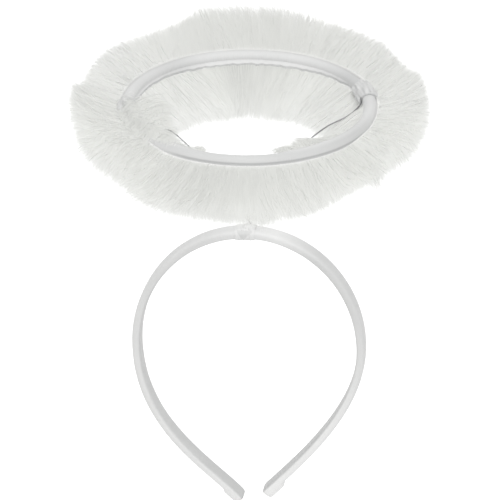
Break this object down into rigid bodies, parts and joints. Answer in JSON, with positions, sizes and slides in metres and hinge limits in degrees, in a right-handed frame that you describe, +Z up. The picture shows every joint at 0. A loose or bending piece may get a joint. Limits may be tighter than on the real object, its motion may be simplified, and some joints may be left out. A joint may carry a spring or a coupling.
{
  "type": "halo headband",
  "caption": "Costume halo: a fur-trimmed satin hoop held over a satin headband on a twisted wire stem with two arms.",
  "frame": {"origin": "the middle of the headband's inner face at its top, where it sits on the head", "axes": "+Z up, -Y to the front, +X to the right as the halo is seen from the front; the headband lies in the XZ plane"},
  "size_m": [0.1892, 0.1939, 0.265],
  "materials": {
    "satin": "white satin ribbon with a soft sheen",
    "wire": "thin plain grey steel wire",
    "fur": "deep white long-pile fur"
  },
  "bodies": {
    "root": {"headband": "satin", "stem_wrap": "satin", "wire_left": "wire", "wire_right": "wire", "halo_hoop": "satin", "binding_left": "satin", "binding_right": "satin", "fur_trim": "fur"}
  },
  "joints": []
}
